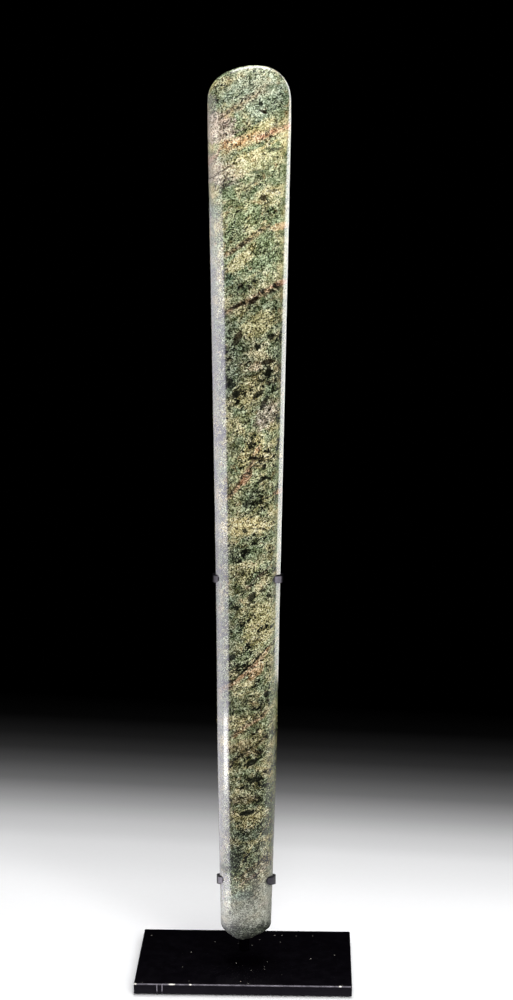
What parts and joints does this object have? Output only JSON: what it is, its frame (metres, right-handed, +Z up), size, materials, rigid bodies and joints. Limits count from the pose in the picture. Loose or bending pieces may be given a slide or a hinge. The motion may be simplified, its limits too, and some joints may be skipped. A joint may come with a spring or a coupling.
{
  "type": "jadeite axe head on stand",
  "caption": "Long, tapering polished jadeite axe head with a rounded cutting edge, held upright by slim bent clips on a rod and a flat steel plate.",
  "frame": {"origin": "centre of the base plate's underside, on the surface that the stand is set on", "axes": "+Z up along the axe head towards its cutting edge, +X to the right seen from the front, where the prongs show, and -Y towards the viewer"},
  "size_m": [0.127, 0.0762, 0.5299],
  "materials": {
    "jadeite": "polished",
    "black_painted_steel": "satin"
  },
  "bodies": {
    "root": {"axe_head": "jadeite", "stand_base": "black_painted_steel", "stand_post": "black_painted_steel", "upper_clip": "black_painted_steel", "lower_clip": "black_painted_steel"}
  },
  "joints": []
}
